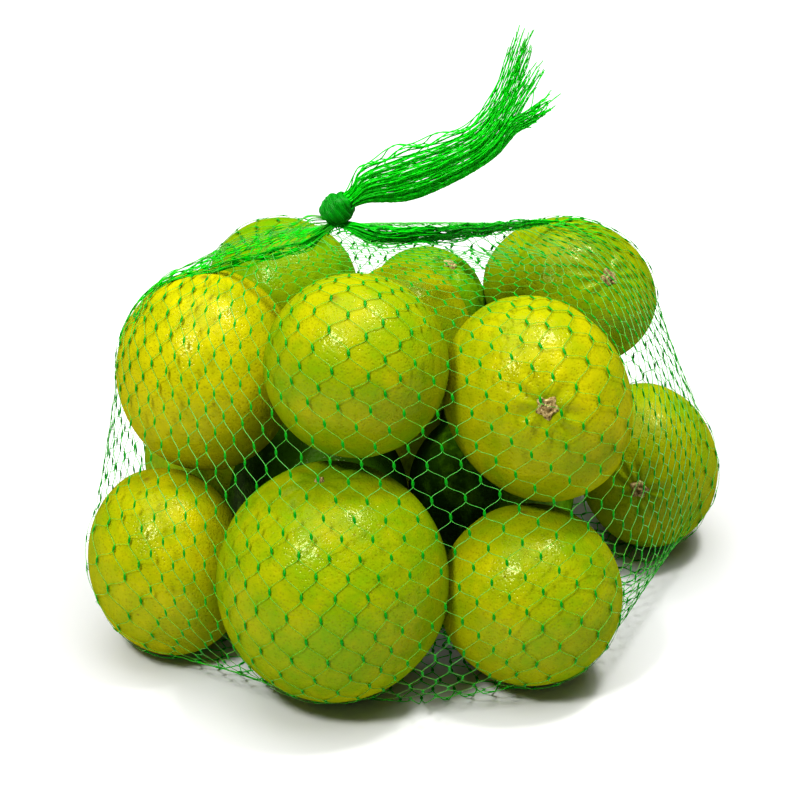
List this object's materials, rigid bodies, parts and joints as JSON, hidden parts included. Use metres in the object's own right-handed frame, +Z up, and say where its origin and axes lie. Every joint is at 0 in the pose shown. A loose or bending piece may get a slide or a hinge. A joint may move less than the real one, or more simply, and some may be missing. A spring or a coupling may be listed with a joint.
{
  "type": "net bag of limes",
  "caption": "Green plastic net bag pulled tight over a heap of yellow-green limes, knotted at the neck, with a short frayed tail of netting.",
  "frame": {"origin": "middle of the flat patch that the bag rests on", "axes": "+Z up, -Y towards the front that the knot's tail is seen from, +X to the right of that view"},
  "size_m": [0.1871, 0.1679, 0.1702],
  "materials": {
    "lime_peel": "waxy fruit peel with fine oil pores, semi-gloss",
    "net_plastic": "thin translucent drawn plastic strands",
    "lime_stem": "dry woody stem end, matt"
  },
  "bodies": {
    "root": {"net_bag": "lime_peel", "net_knot": "net_plastic", "net_tail": "net_plastic"}
  },
  "joints": []
}
